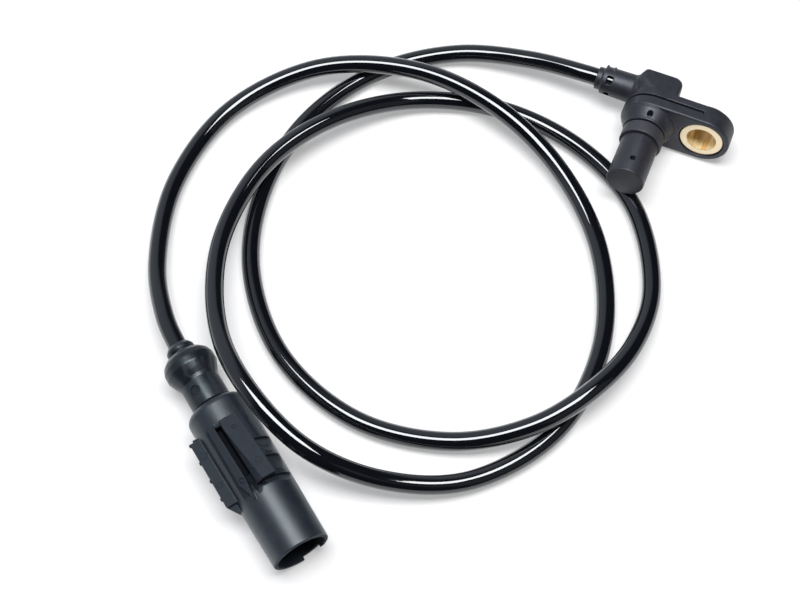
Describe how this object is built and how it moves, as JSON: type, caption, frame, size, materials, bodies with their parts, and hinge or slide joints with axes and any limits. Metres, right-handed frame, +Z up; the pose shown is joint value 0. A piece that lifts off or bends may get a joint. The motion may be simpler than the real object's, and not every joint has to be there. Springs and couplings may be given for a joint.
{
  "type": "wheel speed sensor",
  "caption": "Wheel speed sensor with a flanged sensing head, a brass bolt bush, a long looped cable and a round keyed plug.",
  "frame": {"origin": "on the surface that the sensing head lies on, under the middle of the head's box", "axes": "+X along the flange from the sensing tip to the bolt bush, -Y the way the tip points, +Z up from the surface"},
  "size_m": [0.1446, 0.1721, 0.0193],
  "materials": {
    "moulded_plastic": "satin charcoal glass-filled nylon with a fine moulded grain",
    "carrier_plastic": "dark nylon, slightly rougher than the housing",
    "boot_rubber": "soft satin black rubber",
    "cable_sheath": "smooth glossy black cable sheath",
    "bush_brass": "machined pale brass, fine turned marks on the rim",
    "tinned_metal": "tin-plated copper alloy",
    "magnet_alloy": "dull nickel-plated magnet",
    "chip_epoxy": "black epoxy package",
    "capacitor_ceramic": "matte brown ceramic",
    "blue_core": "blue core insulation",
    "white_core": "white core insulation"
  },
  "bodies": {
    "root": {"sensor_housing": "moulded_plastic", "flange_bush": "bush_brass", "tip_capsule": "moulded_plastic", "element_carrier": "carrier_plastic", "hall_chip": "chip_epoxy", "bias_magnet": "magnet_alloy", "noise_capacitor": "capacitor_ceramic", "chip_lead_left": "tinned_metal", "chip_lead_right": "tinned_metal", "wire_splice_left": "tinned_metal", "wire_splice_right": "tinned_metal", "head_wire_left": "blue_core", "head_wire_right": "white_core", "cable_jacket": "cable_sheath", "plug_shell": "moulded_plastic", "cable_boot": "boot_rubber", "contact_carrier": "carrier_plastic", "contact_pin_left": "tinned_metal", "contact_pin_right": "tinned_metal", "plug_wire_left": "blue_core", "plug_wire_right": "white_core"}
  },
  "joints": []
}
